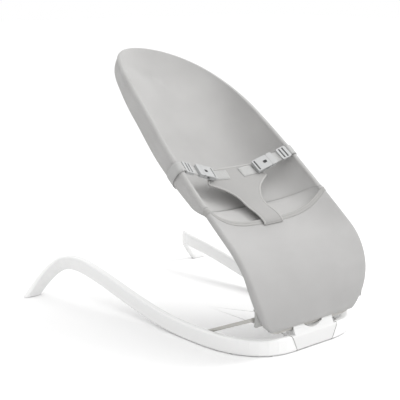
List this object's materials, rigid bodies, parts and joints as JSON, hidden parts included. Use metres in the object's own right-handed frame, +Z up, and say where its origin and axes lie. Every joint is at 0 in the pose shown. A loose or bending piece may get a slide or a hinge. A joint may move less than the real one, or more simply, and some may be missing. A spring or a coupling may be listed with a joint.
{
  "type": "bouncer seat",
  "caption": "Fabric bouncer seat on a wire frame that tilts on a sprung low base, with a folding stand and a three-point waist harness.",
  "frame": {"origin": "on the floor below the middle of the part's bounding box", "axes": "+Z up, +Y towards the head end and the rear feet, +X towards the sitter's left; X = 0 is the mirror plane"},
  "size_m": [0.551, 0.6602, 0.5648],
  "materials": {
    "white_shell": "satin moulded plastic",
    "coated_wire": "grey powder coat",
    "fastener_steel": "plain steel",
    "pad_rubber": "soft matt rubber",
    "seat_fabric": "fine woven polyester, light warm grey",
    "webbing": "ribbed webbing",
    "buckle_plastic": "light grey moulded plastic",
    "grey_plastic": "mid grey moulded plastic"
  },
  "bodies": {
    "base": {"left_leg": "white_shell", "right_leg": "white_shell", "hub_front_shell": "white_shell", "hub_rear_shell": "white_shell", "left_pivot_bush": "grey_plastic", "right_pivot_bush": "grey_plastic", "hub_screws": "fastener_steel", "leg_screws": "fastener_steel", "front_pads": "pad_rubber", "rear_pads": "pad_rubber", "left_stand_socket": "grey_plastic", "right_stand_socket": "grey_plastic"},
    "stand": {"recline_stand": "coated_wire"},
    "seat": {"lower_wire": "coated_wire", "upper_hoop": "coated_wire", "left_frame_sleeve": "grey_plastic", "right_frame_sleeve": "grey_plastic", "left_rack": "grey_plastic", "right_rack": "grey_plastic", "rack_rivets": "fastener_steel", "back_sling": "seat_fabric", "seat_pocket": "seat_fabric", "front_panel": "seat_fabric", "rim_piping": "seat_fabric", "crotch_piece": "seat_fabric", "left_sewn_tab": "webbing", "right_sewn_tab": "webbing", "left_buckle_housing": "buckle_plastic", "right_buckle_housing": "buckle_plastic", "left_adjuster": "buckle_plastic", "right_adjuster": "buckle_plastic", "left_edge_loop": "webbing", "right_edge_loop": "webbing"},
    "left_insert": {"left_buckle_insert": "buckle_plastic", "left_waist_strap": "webbing"},
    "right_insert": {"right_buckle_insert": "buckle_plastic", "right_waist_strap": "webbing"}
  },
  "joints": [
    {"name": "seat_recline", "type": "hinge", "parent": "base", "child": "seat", "pos_m": [0, -0.3148, 0.0466], "axis": [-1, 0, 0], "range_deg": [0, 38]},
    {"name": "stand_fold", "type": "hinge", "parent": "base", "child": "stand", "pos_m": [0, -0.162, 0.018], "axis": [-1, 0, 0], "range_deg": [0, 157]},
    {"name": "left_buckle_slide", "type": "slide", "parent": "seat", "child": "left_insert", "axis": [0.9491, -0.1138, 0.2938], "range_m": [0, 0.014]},
    {"name": "right_buckle_slide", "type": "slide", "parent": "seat", "child": "right_insert", "axis": [-0.9491, -0.1138, 0.2938], "range_m": [0, 0.014]}
  ],
  "couplings": [
    {"joint": "stand_fold", "follows": "seat_recline", "ratio": 4.1}
  ]
}
